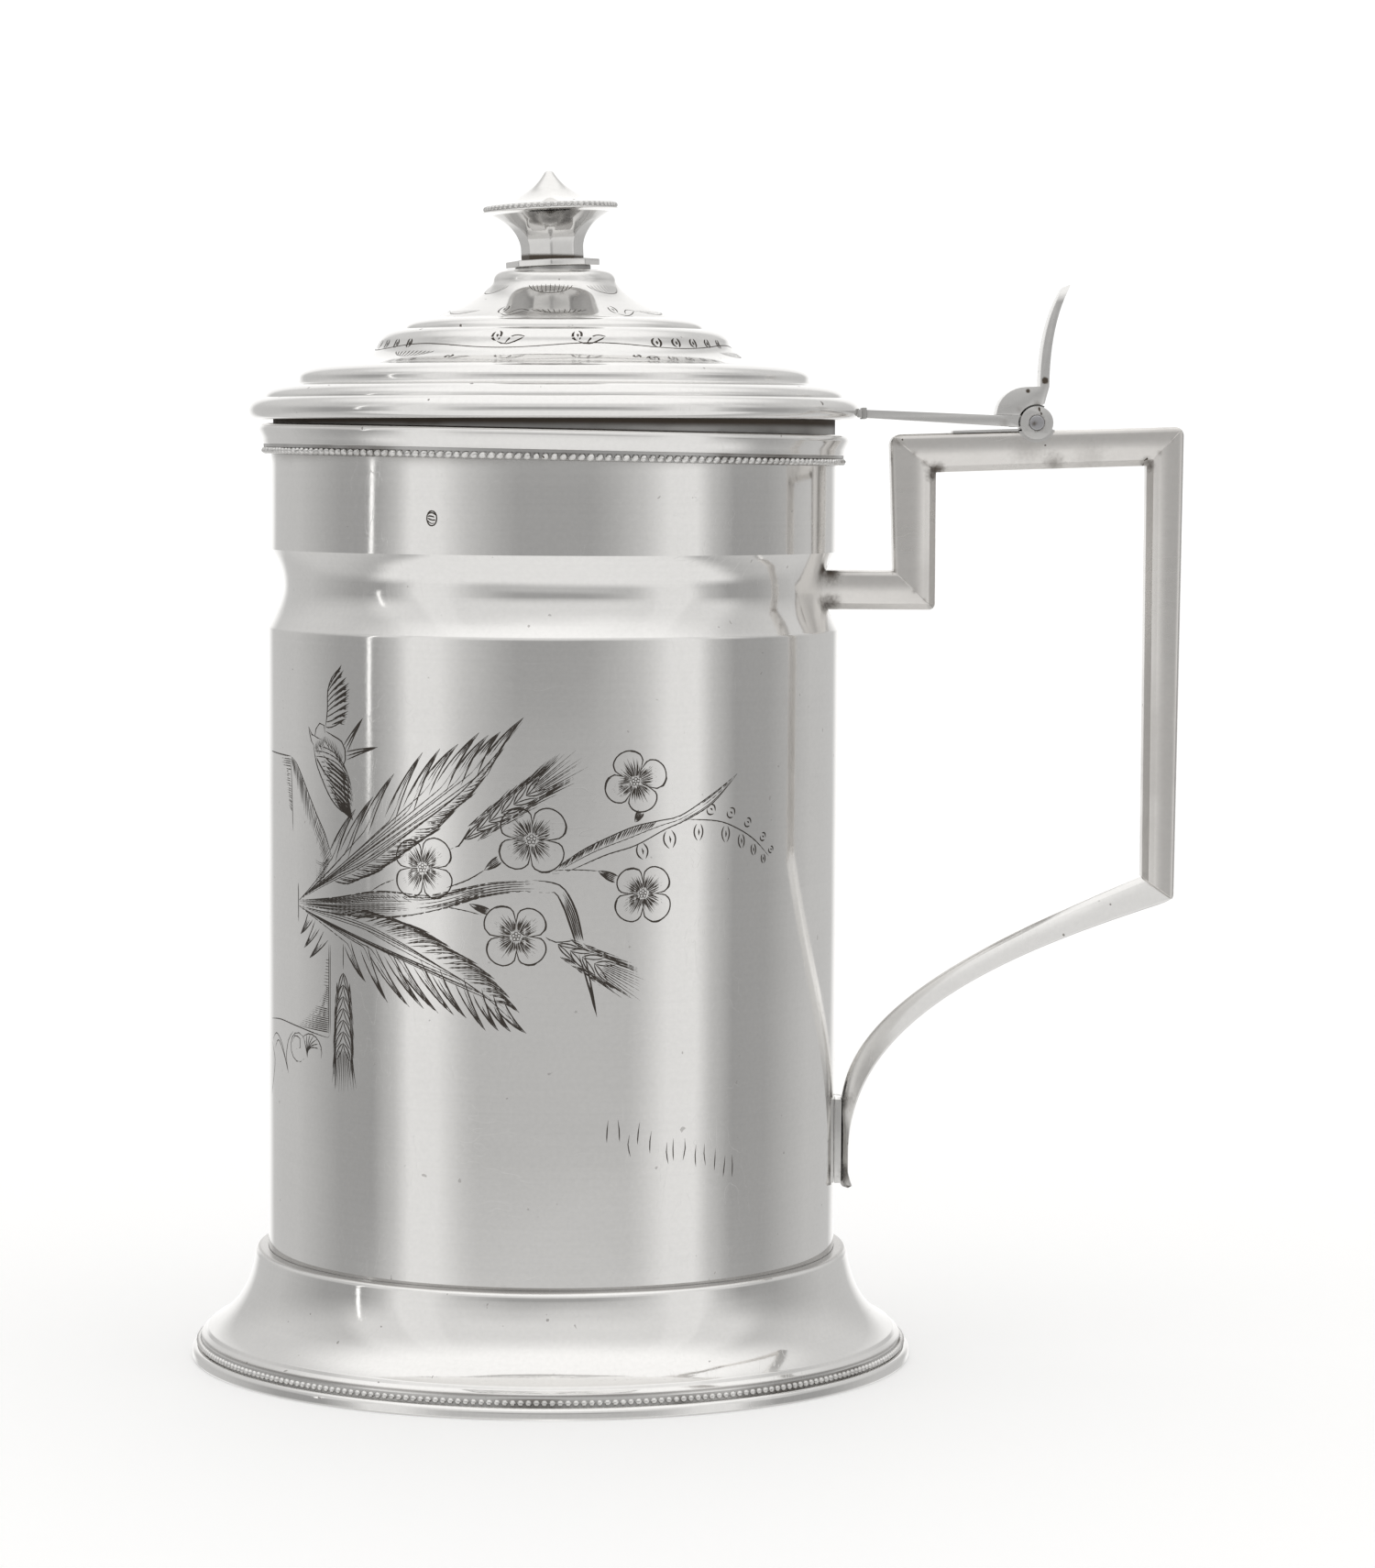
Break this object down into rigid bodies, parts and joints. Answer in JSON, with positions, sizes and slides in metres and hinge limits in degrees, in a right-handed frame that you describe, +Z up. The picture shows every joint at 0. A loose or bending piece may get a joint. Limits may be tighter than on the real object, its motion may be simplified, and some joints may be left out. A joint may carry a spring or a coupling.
{
  "type": "tankard",
  "caption": "Lidded tankard with a raised drum on a spun foot, a square loop handle and a stepped lid that swings up on a pin when its thumb lever is pressed.",
  "frame": {"origin": "centre of the base ring, on the surface the tankard stands on", "axes": "+Z up along the drum's axis, +X towards the handle"},
  "size_m": [0.1666, 0.1218, 0.2],
  "materials": {
    "satin_pewter": "satin, polished round the drum, with fine scratches and cut floral engraving",
    "beaded_pewter": "beaded wire, bright on the crests and dark in the recesses",
    "handle_pewter": "filed and polished, tarnished brown at the solder joints",
    "inner_pewter": "dull, brown tarnish",
    "pin_steel": "turned, dull"
  },
  "bodies": {
    "vessel": {"drum": "satin_pewter", "drum_floor": "inner_pewter", "foot_skirt": "satin_pewter", "foot_beading": "beaded_pewter", "base_ring": "satin_pewter", "mouth_band": "satin_pewter", "mouth_beading": "beaded_pewter", "handle_stub": "handle_pewter", "handle_riser": "handle_pewter", "handle_top_bar": "handle_pewter", "handle_grip": "handle_pewter", "handle_tail": "handle_pewter", "tail_pad": "inner_pewter", "hinge_leaf": "handle_pewter", "hinge_pin": "pin_steel"},
    "lid": {"lid_shell": "satin_pewter", "lid_rim": "satin_pewter", "lid_bezel": "inner_pewter", "arm_collar": "handle_pewter", "lid_arm": "handle_pewter", "thumb_lever": "handle_pewter", "finial_collar": "handle_pewter", "finial_plate": "handle_pewter", "finial_stem": "handle_pewter", "finial_beading": "beaded_pewter", "finial_cap": "handle_pewter", "finial_stud": "pin_steel", "finial_washer": "pin_steel", "finial_nut": "pin_steel"}
  },
  "joints": [
    {"name": "lid_hinge", "type": "hinge", "parent": "vessel", "child": "lid", "pos_m": [0.0809, 0, 0.15822], "axis": [0, 1, 0], "range_deg": [0, 77]}
  ]
}
